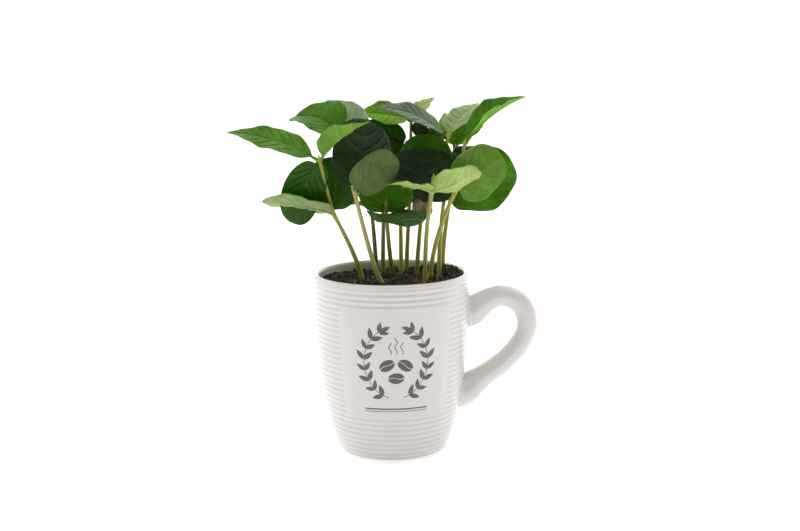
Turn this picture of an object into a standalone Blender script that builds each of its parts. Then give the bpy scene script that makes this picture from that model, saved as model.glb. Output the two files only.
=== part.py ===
"""Potted coffee plant: twelve young coffee seedlings in a large ribbed ceramic mug.

The origin is at the centre of the mug's flat underside, +Z is up, the handle points
along +X and the mug's plain front panel faces -Y. Lengths in this file are in
millimetres and angles in degrees; MM turns lengths into Blender's metres.
"""

import math
from collections import namedtuple

import bmesh
import bpy
import numpy as np
from mathutils import Vector

MM = 0.001
CLEARANCE = 0.3
MERGE = 0.00001

# Mug
MUG_HEIGHT = 105.0
MUG_WALL = 3.5
MUG_FLOOR = 5.0
INSIDE_ROUNDING = 4.0
MUG_SEGMENTS = 56
MUG_SIDE = (
    # height, outer radius
    (105.0, 45.2), (104.2, 46.0), (90.0, 46.0), (74.0, 45.6), (60.0, 44.7), (48.0, 43.5),
    (38.0, 42.2), (28.0, 40.6), (20.0, 38.9), (13.0, 37.2), (7.0, 35.2), (3.0, 33.5), (1.2, 32.4),
    (0.0, 31.0),
)

# Handle: places on its centre line out from the mug's axis, their height, and the radius there
HANDLE_ROUTE = (
    (38.0, 79.6, 9.0), (43.0, 79.7, 9.2), (47.3, 80.2, 9.1), (52.0, 83.4, 8.0), (57.5, 87.0, 6.9), (65.0, 89.0, 6.4),
    (72.5, 87.2, 6.35), (78.0, 82.3, 6.3), (80.7, 75.5, 6.1), (80.4, 68.0, 6.1), (77.0, 60.5, 6.2),
    (71.0, 53.0, 6.3), (63.5, 46.3, 6.4), (55.5, 40.8, 6.8), (49.5, 36.6, 7.9), (45.5, 33.4, 9.2),
    (41.5, 31.8, 10.2), (36.5, 31.2, 10.4),
)
HANDLE_RING_SPACING = 3.2
HANDLE_BEVEL_RESOLUTION = 3

# Soil
SOIL_LEVEL = 99.0
SOIL_EDGE_DROP = 2.0
SOIL_BUMP = 2.4
SOIL_RINGS = 9
FLAT_ROUND_STEM = 7.5
SLOPE_ROUND_STEM = 5.0
# Heaps of soil against the wall: direction, height, how far from the axis it starts and ends, sharpness
SOIL_HEAPS = ((180, 3.0, 26.0, 38.0, 2), (27, 5.5, 31.0, 38.0, 6))

# Stems and twigs
FLARE_RADIUS = 1.75
STEM_FOOT_RADIUS = 1.45
STEM_TOP_RADIUS = 1.15
FOOT_SHARE = 0.02
FLARE_SHARE = 0.12
STEM_STEPS = 9
TWIG_FOOT_RADIUS = 1.05
TWIG_TIP_RADIUS = 0.9
LEAF_BASE_RISE = 1.2
TWIG_END = 1.2
TWIG_BEVEL_RESOLUTION = 1

# Leaves
LEAF_THICKNESS = 0.7
STALK_HALF = 0.6
STALK_SHARE = {"true": 0.09, "seed": 0.06}
BLADE_ROWS = {"true": (0.1, 0.28, 0.48, 0.68, 0.86, 1.0), "seed": (0.06, 0.2, 0.42, 0.64, 0.84, 0.96, 1.0)}
BLADE_COLUMNS = {"true": 2, "seed": 4}
WAVES = {"true": 2.2, "seed": 1.6}
SEED_LEAF_NOTCH = 0.12
TRUE_WIDEST = 0.76
TRUE_FULLNESS = 0.85
TRUE_TIP_TAPER = 0.25
SEED_FULLNESS = 0.42
TIP_HALF = 0.35

Leaf = namedtuple(
    "Leaf",
    "kind at azimuth rise length width roll bow fold cup wave sweep",
    defaults=(0.0, 0.08, 10.0, 0.0, 0.03, 0.0),
)
Seedling = namedtuple("Seedling", "name foot node tip leaves lean", defaults=(1.25,))


def true(at, azimuth, rise, length, width, **shape):
    """A pointed true leaf, at a share of the twig's height."""
    return Leaf("true", at, azimuth, rise, length, width, **shape)


def seed(azimuth, rise, length, width, at=0.0, **shape):
    """A round, wavy leaf like the first ones, at the foot of the twig if no other share is given."""
    return Leaf("seed", at, azimuth, rise, length, width, **{"fold": 4.0, "wave": 0.05, "bow": 0.05, **shape})


# Each seedling: where its stem leaves the soil, where its first leaves sit, the top of its
# twig, its leaves, and how its stem leans: evenly at 1, more towards the leaves above 1.
# Azimuth 0 is +X and 90 is +Y, away from the mug's front.
SEEDLINGS = (
    Seedling("left_front", (-17, 9), (-33, 2, 139), (-40, -3, 170), (
        seed(-169, 11, 42, 22, roll=24, bow=0.02, cup=0.06),
        seed(76, 63, 35, 32, cup=0.15, bow=0.0),
        true(1, 172, 17, 56, 27, roll=-24, bow=0.07, fold=6),
        true(1, -34, 33, 41, 24, roll=-8, bow=0.05, fold=22, sweep=-0.06),
        seed(149, -63, 42, 24, at=1, roll=-125, bow=0.02, sweep=-0.05),
    )),
    Seedling("left_middle", (-6, -6), (-21, -9, 153.5), (-30, 13, 183), (
        seed(70, 64, 42, 34, roll=12, fold=0, cup=0.02, wave=0.03, sweep=-0.05),
        seed(-22, 39, 32, 22, roll=-66, bow=-0.05, fold=0, wave=0.03),
        seed(146, 20, 32, 34, at=1, roll=-24, bow=0.08, fold=14, wave=0.03, sweep=-0.15),
        true(1, -12, 24, 22, 13, fold=30),
    ), lean=0.8),
    Seedling("back_left", (-7.5, 36), (-10, 47, 141), (-13, 50, 170), (
        seed(150, 20, 38, 32),
        seed(95, 5, 36, 28),
        true(1, 80, 12, 38, 24),
        true(1, 155, 14, 32, 24),
    )),
    Seedling("middle_left", (-4, 22), (-3, 27, 137), (-11, 31, 179), (
        seed(180, 8, 38, 26),
        true(1, 160, 42, 36, 22, roll=-60),
        true(1, -115, 20, 22, 18),
    )),
    Seedling("middle_front", (2, 19), (-2, 10, 136.5), (-2, 9, 143), (
        seed(85, 68, 21, 32, bow=0.0, cup=0.1),
        seed(-74, -5, 36, 34, cup=0.05),
    ), lean=0.7),
    Seedling("middle", (7.5, 29), (8, 40, 140), (12, 44, 175), (
        seed(172, 20, 29, 22, at=1, roll=-60),
        true(1, 178, -18, 17, 15, roll=-70),
    )),
    Seedling("middle_back", (11, 32), (14, 46, 138), (16, 52, 190), (
        seed(68, 10, 36, 30),
        true(1, 20, 40, 21, 13, fold=12, roll=20),
        true(1, -172, 8, 34, 22, roll=-40, bow=0.06),
    )),
    Seedling("right_middle", (16.5, 20), (20.5, 27, 140), (21, 44, 178), (
        seed(60, 85, 34, 48, roll=28, cup=0.06, bow=0.04),
        seed(66, 77, 43, 36, roll=16, bow=-0.05, fold=0, wave=0.09),
        true(1, -112, 48, 15, 12, fold=20),
        true(1, 8, 8, 18, 13, roll=50),
    )),
    Seedling("right_front", (20, 0), (23, -12, 152), (24, -11, 159), (
        seed(-24, 24, 31, 22, roll=-32, bow=-0.05, cup=0.1),
        seed(-152, 12, 28, 20, roll=8),
    ), lean=2.2),
    Seedling("right", (23.5, 3.5), (38, 2, 151), (44, 8, 178), (
        seed(-20, 36, 34, 32, roll=70),
        true(1, 6, 36, 45, 24, roll=10, fold=34),
        true(0.4, 60, 50, 18, 16, roll=30, cup=0.2, wave=0.1),
    ), lean=1.7),
    Seedling("right_back", (29, 8), (34.5, 30, 145), (37, 38, 180), (
        seed(-3, 24, 46, 44, roll=58, wave=0.1),
        true(1, 42, 34, 36, 24),
        true(1, -172, 23, 49, 20, roll=-32, bow=0.12, fold=8),
    ), lean=2.2),
    Seedling("back_right", (32.3, 20), (40, 46, 143), (43, 52, 172), (
        seed(38, 10, 38, 36),
        true(1, 112, 58, 26, 21),
        true(1, 20, 45, 34, 20, roll=25),
    ), lean=2.0),
)

CERAMIC = ("glazed_ceramic", (0.86, 0.84, 0.82), 0.25)
PEAT = ("potting_soil", (0.05, 0.032, 0.022), 0.95)
GREEN_STEM = ("green_stem", (0.35, 0.38, 0.08), 0.5)
LEAF_GREEN = ("leaf_green", (0.05, 0.2, 0.03), 0.4)


def clear_scene():
    for thing in list(bpy.data.objects):
        bpy.data.objects.remove(thing, do_unlink=True)


def new_collection(name):
    collection = bpy.data.collections.new(name)
    bpy.context.scene.collection.children.link(collection)
    return collection


def material(kind):
    """A plain material with the colour and roughness of the real finish."""
    name, color, roughness = kind
    found = bpy.data.materials.get(name)
    if found:
        return found
    made = bpy.data.materials.new(name)
    made.use_nodes = True
    shader = made.node_tree.nodes["Principled BSDF"]
    shader.inputs["Base Color"].default_value = (*color, 1.0)
    shader.inputs["Roughness"].default_value = roughness
    made.diffuse_color = (*color, 1.0)
    return made


def add_object(name, data, collection, kind=None):
    thing = bpy.data.objects.new(name, data)
    collection.objects.link(thing)
    if kind:
        data.materials.append(material(kind))
    return thing


def metres(point):
    return Vector([float(value) * MM for value in point])


def smooth_route(points, spacing):
    """Points about a spacing apart on a Catmull-Rom curve through the given ones."""
    points = [np.array(point, float) for point in points]
    ends = [2 * points[0] - points[1]] + points + [2 * points[-1] - points[-2]]
    route = []
    for before, start, end, after in zip(ends, ends[1:], ends[2:], ends[3:]):
        count = max(1, round(float(np.linalg.norm((end - start)[:2])) / spacing))
        for step in range(count):
            t = step / count
            route.append(0.5 * (
                2 * start + (end - before) * t + (2 * before - 5 * start + 4 * end - after) * t ** 2
                + (3 * start - before - 3 * end + after) * t ** 3
            ))
    return route + [points[-1]]


def tube(name, points, radii, collection, kind, resolution):
    """A round limb through the points, with filled caps."""
    curve = bpy.data.curves.new(name, "CURVE")
    curve.dimensions = "3D"
    curve.bevel_depth = MM
    curve.bevel_resolution = resolution
    curve.use_fill_caps = True
    spline = curve.splines.new("POLY")
    spline.points.add(len(points) - 1)
    for place, point, radius in zip(spline.points, points, radii):
        place.co = (*metres(point), 1.0)
        place.radius = radius
    return add_object(name, curve, collection, kind)


def as_mesh(thing, collection, kind):
    """The tube as a closed mesh object under the same name."""
    name = thing.name
    graph = bpy.context.evaluated_depsgraph_get()
    mesh = bpy.data.meshes.new_from_object(thing.evaluated_get(graph))
    shape = bmesh.new()
    shape.from_mesh(mesh)
    bmesh.ops.remove_doubles(shape, verts=shape.verts, dist=MERGE)
    bmesh.ops.recalc_face_normals(shape, faces=shape.faces)
    shape.to_mesh(mesh)
    shape.free()
    matrix = thing.matrix_world.copy()
    bpy.data.objects.remove(thing, do_unlink=True)
    mesh.name = name
    mesh.materials.clear()
    made = add_object(name, mesh, collection, kind)
    made.matrix_world = matrix
    return made


def turned(name, profile, segments, collection, kind):
    """A solid turned round Z from a profile that starts and ends on the axis."""
    mesh = bpy.data.meshes.new(name)
    verts = [metres((radius, 0.0, height)) for height, radius in profile]
    mesh.from_pydata(verts, [(i, i + 1) for i in range(len(verts) - 1)], [])
    thing = add_object(name, mesh, collection, kind)
    screw = thing.modifiers.new("Turn", "SCREW")
    screw.axis = "Z"
    screw.steps = segments
    screw.render_steps = segments
    screw.use_merge_vertices = True
    screw.merge_threshold = MERGE
    screw.use_smooth_shade = True
    return thing


def mug_radius(height):
    """Outer radius of the mug at a height."""
    heights, radii = zip(*reversed(MUG_SIDE))
    return float(np.interp(height, heights, radii))


def make_mug(parts):
    inside = [(height, radius - MUG_WALL) for height, radius in MUG_SIDE if height > MUG_FLOOR + INSIDE_ROUNDING]
    lowest_height, lowest_radius = inside[-1]
    profile = [(MUG_FLOOR, 0.0), (MUG_FLOOR, lowest_radius - INSIDE_ROUNDING), (lowest_height, lowest_radius)]
    profile += [(height, radius) for height, radius in reversed(inside[1:-1])]
    profile += list(MUG_SIDE) + [(0.0, 0.0)]
    return turned("mug_body", profile, MUG_SEGMENTS, parts, CERAMIC)


def make_handle(parts, cutters):
    """An ear of round section whose two feet widen where they join the wall."""
    route = smooth_route(HANDLE_ROUTE, HANDLE_RING_SPACING)
    points = [(out, 0.0, height) for out, height, _ in route]
    handle = tube("mug_handle", points, [row[2] for row in route], parts, CERAMIC, HANDLE_BEVEL_RESOLUTION)
    handle = as_mesh(handle, parts, CERAMIC)
    grown = [(height, radius + CLEARANCE) for height, radius in MUG_SIDE]
    profile = [(MUG_HEIGHT, 0.0)] + grown + [(0.0, 0.0)]
    cutter = turned("mug_outside", profile, MUG_SEGMENTS, cutters, None)
    cutter.hide_render = True
    cutter.display_type = "WIRE"
    cut = handle.modifiers.new("Wall", "BOOLEAN")
    cut.operation = "DIFFERENCE"
    cut.object = cutter
    handle.data.shade_smooth()
    return handle


def heap_height(x, y, direction, height, start, end, sharpness):
    """How much one heap adds to the soil at a place."""
    out = min(1.0, max(0.0, (math.hypot(x, y) - start) / (end - start)))
    facing = max(0.0, math.cos(math.atan2(y, x) - math.radians(direction)))
    return height * out * facing ** sharpness


def soil_height(x, y, radius):
    """The soil's top: level round each stem, uneven between them and lower at the wall."""
    nearest = min(math.dist((x, y), one.foot) for one in SEEDLINGS)
    share = min(1.0, max(0.0, (nearest - FLAT_ROUND_STEM) / SLOPE_ROUND_STEM))
    bumps = math.sin(0.31 * x + 1.3) * math.cos(0.27 * y) + 0.6 * math.sin(0.53 * y - 0.47 * x)
    mound = 0.5 + 0.5 * math.sin(math.radians(45) + math.atan2(y, x))
    edge = -SOIL_EDGE_DROP * (math.hypot(x, y) / radius) ** 4 * (1 - mound)
    heaps = sum(heap_height(x, y, *heap) for heap in SOIL_HEAPS)
    return SOIL_LEVEL + share * (SOIL_BUMP * (0.3 * bumps + mound - 0.45) + edge + heaps)


def make_soil(parts):
    """A plug of soil that fills the mug, just clear of its wall and floor."""
    lowest, highest = MUG_FLOOR + INSIDE_ROUNDING, SOIL_LEVEL - SOIL_EDGE_DROP
    side = [(h, r - MUG_WALL - CLEARANCE) for h, r in MUG_SIDE if lowest < h < highest]
    top_radius = mug_radius(SOIL_LEVEL) - MUG_WALL - CLEARANCE
    top = [(SOIL_LEVEL, top_radius * ring / SOIL_RINGS) for ring in range(SOIL_RINGS + 1)]
    bottom = [(MUG_FLOOR + CLEARANCE, side[-1][1] - INSIDE_ROUNDING), (MUG_FLOOR + CLEARANCE, 0.0)]
    soil = turned("soil", top + side + bottom, MUG_SEGMENTS, parts, PEAT)
    graph = bpy.context.evaluated_depsgraph_get()
    mesh = bpy.data.meshes.new_from_object(soil.evaluated_get(graph))
    bpy.data.objects.remove(soil, do_unlink=True)
    for vert in mesh.vertices:
        x, y, z = (value / MM for value in vert.co)
        if z > SOIL_LEVEL - 1:
            vert.co.z = soil_height(x, y, top_radius) * MM
    mesh.name = "soil"
    mesh.materials.clear()
    return add_object("soil", mesh, parts, PEAT)


def unit(vector):
    return vector / np.linalg.norm(vector)


def stem_point(plant, share):
    """A point of the stem, from its foot at share 0 to the first leaves at 1."""
    foot = np.array((*plant.foot, SOIL_LEVEL + CLEARANCE), float)
    node = np.array(plant.node, float)
    point = foot + (node - foot) * share
    point[:2] = foot[:2] + (node - foot)[:2] * share ** plant.lean
    return point


def stem_end_direction(plant):
    return unit(stem_point(plant, 1.0) - stem_point(plant, 0.95))


def make_stem(plant, parts):
    """A bare lower stem: flared at the soil, leaning, thinner towards the leaves."""
    shares = [0.0, FOOT_SHARE, FLARE_SHARE] + list(np.linspace(0.2, 0.95, STEM_STEPS - 3)) + [1.0]
    points = [stem_point(plant, share) for share in shares]
    points[1][:2] = points[0][:2]
    radii = [FLARE_RADIUS, FLARE_RADIUS]
    radii += [STEM_FOOT_RADIUS + (STEM_TOP_RADIUS - STEM_FOOT_RADIUS) * share for share in shares[2:]]
    return tube("stem_" + plant.name, points, radii, parts, GREEN_STEM, TWIG_BEVEL_RESOLUTION)


def twig_point(plant, at):
    """A point of the twig's centre line, from the first leaves at 0 to its top at 1."""
    node, tip = np.array(plant.node, float), np.array(plant.tip, float)
    return node + (tip - node) * at + stem_end_direction(plant) * LEAF_BASE_RISE


def leaf_axes(leaf):
    """Unit vectors of a leaf: along its midrib, to its left and out of its upper face."""
    azimuth, rise, roll = (math.radians(angle) for angle in (leaf.azimuth, leaf.rise, leaf.roll))
    along = np.array((
        math.cos(rise) * math.cos(azimuth), math.cos(rise) * math.sin(azimuth), math.sin(rise)
    ))
    left = np.array((-math.sin(azimuth), math.cos(azimuth), 0.0))
    up = np.cross(along, left)
    cos, sin = math.cos(roll), math.sin(roll)
    return along, left * cos + up * sin, up * cos - left * sin


def half_width(leaf, t):
    """Half the leaf's width at a share t of its length: a stalk, then the blade."""
    stalk = STALK_SHARE[leaf.kind]
    if t <= stalk:
        return STALK_HALF
    u = min(1.0, (t - stalk) / (1 - stalk))
    if leaf.kind == "true":
        shape = math.sin(math.pi * u ** TRUE_WIDEST) ** TRUE_FULLNESS * (1 - TRUE_TIP_TAPER * u ** 4)
    else:
        shape = (1 - (2 * u - 1) ** 2) ** SEED_FULLNESS
    return max(STALK_HALF if u < 0.3 else TIP_HALF, leaf.width / 2 * shape)


def leaf_point(leaf, base, t, q):
    """A point of the blade: t runs from stalk to tip, q from the right edge to the left."""
    along, left, up = leaf_axes(leaf)
    half = half_width(leaf, t)
    spread = half / (leaf.width / 2)
    fold = math.radians(leaf.fold)
    x = leaf.length * t
    if leaf.kind == "seed":
        x -= leaf.length * SEED_LEAF_NOTCH * q * q * spread * (1 - t) ** 2
    arch = 4 * t * (1 - t) * leaf.length
    y = q * half * math.cos(fold) + leaf.sweep * arch
    ripple = math.sin(2 * math.pi * WAVES[leaf.kind] * t + leaf.azimuth + (2.1 if q < 0 else 0.0))
    z = abs(q) * half * math.sin(fold) + leaf.bow * arch
    z += (leaf.cup + leaf.wave * ripple) * leaf.width * q * q * spread
    return base + x * along + y * left + z * up


def make_leaf(name, leaf, base, collection):
    """A thin blade: a grid laid on the leaf's surface, thickened."""
    stalk = STALK_SHARE[leaf.kind]
    rows = [0.0, stalk] + [stalk + (1 - stalk) * u for u in BLADE_ROWS[leaf.kind]]
    columns = BLADE_COLUMNS[leaf.kind]
    shape = bmesh.new()
    bmesh.ops.create_grid(shape, x_segments=columns, y_segments=len(rows) - 1, size=1.0)
    for vert in shape.verts:
        row = round((vert.co.y + 1) / 2 * (len(rows) - 1))
        vert.co = metres(leaf_point(leaf, base, rows[row], vert.co.x))
    bmesh.ops.recalc_face_normals(shape, faces=shape.faces)
    half = LEAF_THICKNESS * MM / 2
    for vert in shape.verts:
        vert.co -= vert.normal * half
    bmesh.ops.solidify(shape, geom=shape.faces[:], thickness=-LEAF_THICKNESS * MM)
    bmesh.ops.recalc_face_normals(shape, faces=shape.faces)
    mesh = bpy.data.meshes.new(name)
    shape.to_mesh(mesh)
    shape.free()
    return add_object(name, mesh, collection)


def make_foliage(plant, parts):
    """The twig above the first leaves, with every leaf of the seedling fused to it."""
    start = stem_point(plant, 1.0)
    direction = stem_end_direction(plant)
    top = twig_point(plant, 1.0)
    heading = unit(top - twig_point(plant, 0.0))
    points = [start + direction * CLEARANCE, twig_point(plant, 0.0)]
    points += [twig_point(plant, at) for at in (0.33, 0.67)] + [top, top + heading * TWIG_END]
    radii = np.linspace(TWIG_FOOT_RADIUS, TWIG_TIP_RADIUS, len(points))
    twig = tube("leaves_" + plant.name, points, radii, parts, LEAF_GREEN, TWIG_BEVEL_RESOLUTION)
    twig = as_mesh(twig, parts, LEAF_GREEN)
    blades = new_collection("blades_" + plant.name)
    for number, leaf in enumerate(plant.leaves):
        make_leaf(f"blade_{number}", leaf, twig_point(plant, leaf.at), blades)
    join = twig.modifiers.new("Join", "BOOLEAN")
    join.operation = "UNION"
    join.operand_type = "COLLECTION"
    join.collection = blades
    join.solver = "MANIFOLD"
    graph = bpy.context.evaluated_depsgraph_get()
    joined = bpy.data.meshes.new_from_object(twig.evaluated_get(graph))
    twig.modifiers.clear()
    twig.data = joined
    joined.name = twig.name
    joined.materials.clear()
    joined.materials.append(material(LEAF_GREEN))
    for blade in list(blades.objects):
        bpy.data.objects.remove(blade, do_unlink=True)
    bpy.data.collections.remove(blades)
    return twig


def main():
    clear_scene()
    parts = new_collection("potted_coffee_plant")
    cutters = new_collection("cutters")
    make_mug(parts)
    make_handle(parts, cutters)
    make_soil(parts)
    for plant in SEEDLINGS:
        make_stem(plant, parts)
        make_foliage(plant, parts)


main()
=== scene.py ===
"""Looks of the potted coffee plant: twelve young coffee seedlings in a ribbed, glazed mug.

The script is laid out as an add-on and is run as a script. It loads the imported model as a
fixed frame, and puts a finer, finished piece in the place of each of its solids.
Tables and shape functions are in millimetres and degrees; MM turns them into metres.
The origin is at the centre of the mug's underside, the handle points along +X and the
mug's front panel faces -Y.
"""

import math
import random
from collections import namedtuple

import bmesh
import bpy
import numpy as np
from bpy.props import FloatProperty, FloatVectorProperty, IntProperty, PointerProperty
from bpy.types import Operator, Panel, PropertyGroup
from mathutils import Euler, Matrix, Vector, noise


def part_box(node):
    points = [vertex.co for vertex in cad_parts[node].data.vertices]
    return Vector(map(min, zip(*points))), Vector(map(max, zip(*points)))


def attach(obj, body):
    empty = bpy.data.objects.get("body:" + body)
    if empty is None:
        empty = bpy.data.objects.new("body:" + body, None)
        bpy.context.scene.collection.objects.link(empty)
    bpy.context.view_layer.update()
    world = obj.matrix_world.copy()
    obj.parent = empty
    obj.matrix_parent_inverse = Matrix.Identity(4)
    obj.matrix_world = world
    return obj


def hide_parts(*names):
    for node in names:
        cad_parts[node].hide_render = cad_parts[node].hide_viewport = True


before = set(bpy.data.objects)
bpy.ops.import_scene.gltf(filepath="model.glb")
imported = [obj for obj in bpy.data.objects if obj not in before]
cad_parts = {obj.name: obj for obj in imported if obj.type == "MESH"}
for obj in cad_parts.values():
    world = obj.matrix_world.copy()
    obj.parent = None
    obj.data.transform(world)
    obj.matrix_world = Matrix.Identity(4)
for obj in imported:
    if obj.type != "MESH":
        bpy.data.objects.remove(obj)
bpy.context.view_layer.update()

bl_info = {
    "name": "Potted Coffee Plant",
    "version": (1, 0, 0),
    "blender": (4, 5, 0),
    "location": "View3D > Sidebar > Coffee Plant",
    "description": "Young coffee seedlings in a ribbed mug, with their finishes and a plain studio",
    "category": "Object",
}

MM = 0.001
BODY = "root"
MERGE = 0.000001

# Mug: height and outer radius, from the rim down to the foot
MUG_SIDE = (
    (105.0, 45.2), (104.2, 46.0), (90.0, 46.0), (74.0, 45.6), (60.0, 44.7), (48.0, 43.5),
    (38.0, 42.2), (28.0, 40.6), (20.0, 38.9), (13.0, 37.2), (7.0, 35.2), (3.0, 33.5), (1.2, 32.4),
    (0.0, 31.0),
)
MUG_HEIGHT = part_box("mug_body")[1].z / MM
MUG_WALL = 3.5
MUG_FLOOR = 5.0
RIM_RADIUS = MUG_WALL / 2
RIM_STEPS = 12
# Section of the underside, from its middle to the wall: radius and height
FOOT_SECTION = ((0.0, 1.5), (25.0, 1.5), (26.5, 0.5), (27.0, 0.0), (31.0, 0.0), (31.5, 0.2), (32.0, 0.6))
FOOT_TOP = 0.9
SIDE_FROM = 1.0
# Corner between the wall's inside and the floor: distance in from the wall, and height
INSIDE_CORNER = ((1.2, 6.8), (4.0, MUG_FLOOR))
INSIDE_LOWEST = 9.0
INSIDE_ROWS = 44
# Unglazed part of the foot ring: further out than this radius, and lower than this height
BARE_RADIUS = 26.0
BARE_HEIGHT = 0.4

# Ribs: they fade in over the first height range and out just under the rim
ROWS_PER_RIB = 7
GROOVE_SHARPNESS = 1.5
RIBS_FADE_IN = (1.0, 3.0)
RIBS_FADE_OUT = 1.0
RIBS_START_PAST_PANEL = (-0.5, 0.9)
PANEL_BORDER_DEPTH = 0.85
PANEL_BORDER_WIDTH = 0.75

# Handle: distance out from the mug's axis, height, and radius of the round section
HANDLE_ROUTE = (
    (38.0, 79.6, 9.0), (43.0, 79.7, 9.2), (47.3, 80.2, 9.1), (52.0, 83.4, 8.0), (57.5, 87.0, 6.9),
    (65.0, 89.0, 6.4), (72.5, 87.2, 6.35), (78.0, 82.3, 6.3), (80.7, 75.5, 6.1), (80.4, 68.0, 6.1),
    (77.0, 60.5, 6.2), (71.0, 53.0, 6.3), (63.5, 46.3, 6.4), (55.5, 40.8, 6.8), (49.5, 36.6, 7.9),
    (45.5, 33.4, 9.2), (41.5, 31.8, 10.2), (36.5, 31.2, 10.4),
)
HANDLE_RINGS_PER_SPAN = 8
HANDLE_SIDES = 48
FILLET_REACH = 1.6
FILLET_SWELL = 0.7
FOOT_SUNK = 0.8
# Plug that cuts the handle's feet off inside the wall
PLUG_HEIGHTS = (1, 104)
PLUG_ROWS = 160
PLUG_SEGMENTS = 180

# Ornament printed on the panel: a wreath, beans (place, height and turn), wavy strokes (place and
# top) and rules (height and width)
PRINT_LIFT = 0.04
HALVES_LIFT = 1.4 * PRINT_LIFT
BERRY_LIFT = 1.8 * PRINT_LIFT
PRINT_STEP = 0.8
WREATH_WIDTH = 36.0
WREATH_HEIGHT = 42.0
WREATH_MIDDLE = 61.0
SPRIG_FROM, SPRIG_TO = -76, 62
SPRIG_POINTS = 40
SPRIG_WIDTH = 0.38
SPRIG_LEAF_LENGTHS = (6.8, 6.0)
SPRIG_LEAF_LEAN = 0.75
BERRY_RADIUS = 0.62
BERRY_BESIDE = 1.1
BEANS = ((-5.1, 59.5, 0.55), (5.1, 59.5, 2.6), (0.0, 52.0, 0.05))
BEAN_LENGTH = 9.2
STEAM = ((-3.2, 73.0), (0.0, 75.5), (3.2, 73.0))
STEAM_FROM = 66.0
STEAM_WAVE = 0.7
STEAM_WIDTH = 0.42
RULES = ((33.6, 0.75), (32.1, 0.35))
RULE_HALF = 19.0

# Soil
SOIL_LEVEL = 99.0
SOIL_EDGE_DROP = 2.0
SOIL_BUMP = 2.4
FLAT_ROUND_STEM = 7.5
SLOPE_ROUND_STEM = 5.0
# Heaps of soil against the wall: direction, height, how far from the axis it starts and ends, sharpness
SOIL_HEAPS = ((180, 3.0, 26.0, 38.0, 2), (27, 5.5, 31.0, 38.0, 6))
# Crumbly bumps: their size, their layer of the noise and their share of the relief
SOIL_CRUMBLE = ((5.5, 1.7, 1.1), (1.9, 4.1, 1.0), (0.9, 9.3, 0.6))
SOIL_CLEARANCE = 0.15
SOIL_RINGS = 84
SOIL_SPOKES = 300
SOIL_SIDE = (94, 10, 15)
SOIL_FOOT_ROUNDING = 4

# Bits strewn over the soil: sizes, shape and roundness of each kind
BITS = {
    "crumbs": ((0.35, 1.0), (1, 0.8, 0.7), 1),
    "lumps": ((1.0, 2.4), (1, 0.85, 0.7), 2),
    "chunks": ((1.8, 3.0), (0.55, 0.5, 1.2), 2),
    "bark_chips": ((0.6, 2.0), (1.3, 0.45, 0.3), 1),
    "grit": ((0.4, 1.1), (1, 0.7, 0.6), 1),
}
BIT_SHAPES = 6
BIT_LUMPINESS = 0.55
BITS_OFF_WALL = 1.2
BITS_OFF_STEM = 1.3
BIT_SEED = 11
GRIT_SHADE = (0.4, 0.36, 0.3)

# Stems and twigs
CLEARANCE = 0.3
FLARE_RADIUS = 1.75
STEM_FOOT_RADIUS = 1.45
STEM_TOP_RADIUS = 1.15
FLARE_SHARE = 0.12
TWIG_FOOT_RADIUS = 1.05
TWIG_TIP_RADIUS = 0.9
LEAF_BASE_RISE = 1.2
STEM_SUNK = 3.0
STEM_SIDES = 14
STEM_SHARES = (FLARE_SHARE, *np.linspace(0.25, 1.0, 8))
NODE_SWELL = 0.25
BUD_LENGTH = 3.4
LEAST_RADIUS = 0.05
# Shares of the twig and of the bud, with their radii there
TWIG_SECTION = ((0.12, TWIG_FOOT_RADIUS), (0.4, 0.95), (0.7, TWIG_TIP_RADIUS), (1.0, TWIG_TIP_RADIUS + 0.2))
BUD_SECTION = ((0.35, 0.8), (0.75, 0.42), (1.0, 0.06))
RINGS_PER_SHARE = 4
# Limb of a leaf: its stalk and midrib, as radii at the stalk's foot and end, halfway and at its own end
RIB_SIDES = 8
RIB_ROWS = 22
RIB_END = 0.9
RIB_RADII = (0.95, 0.62, 0.36, 0.1)

# Leaves
STALK_HALF = 0.6
STALK_SHARE = {"true": 0.09, "seed": 0.06}
WAVES = {"true": 2.2, "seed": 1.6}
SEED_LEAF_NOTCH = 0.12
TRUE_WIDEST = 0.76
TRUE_FULLNESS = 0.85
TRUE_TIP_TAPER = 0.25
SEED_FULLNESS = 0.42
TIP_HALF = 0.08
MIDRIB_HALF = 0.22
MIDRIB_DROP = 0.95
MIDRIB_DEPTH = 1.2
SIDE_COLUMNS = 12
ROWS_BETWEEN_VEINS = 4
VEIN_CURVE = 1.25
VEIN_HALF = 0.2
VEIN_TAPER = 0.12
VEIN_SIDE_RISE = 0.7
LEAST_ROW_STEP = 0.002
MARGIN_RIPPLE = 0.35
MARGIN_RIPPLES = 31
# Where each pair of side veins leaves the midrib and where it meets the margin, as shares
SIDE_VEINS = {
    "true": tuple((at, at + 0.34 * (1 - at) * (1 - (1 - at) ** 5)) for at in np.linspace(0.08, 0.84, 7)),
    "seed": ((0.015, 0.14), (0.05, 0.36), (0.12, 0.58), (0.28, 0.76), (0.5, 0.88), (0.74, 0.96)),
}
QUILTING = {"true": 0.34, "seed": 0.3}
# Share of the waxy shine that the younger leaves have
YOUNG_GLOSS = {"fresh": 0.35, "bright": 0.35}

# Husk: the seedling that it clings to, how far below the first leaves it sits, and its grid
HUSK_SEEDLING = "right_middle"
HUSK_DROP = 1.5
HUSK_ROWS, HUSK_COLUMNS = 22, 46
HUSK_FROM, HUSK_AROUND = -215, 300
HUSK_FLATTENED = 0.72
HUSK_WALL = 0.3

# Camera, in the photograph's place, and floor
CAMERA_PLACE = (-30.1, -631.2, 217.5)
CAMERA_YAW = -3.2
CAMERA_TILT = 80.21
CAMERA_ROLL = -0.6025
SENSOR_WIDTH = 36.0
FLOOR_SIZE = 6.0
FLOOR_SQUARES = 8
BACKDROP_STRENGTH = 1.05

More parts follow.
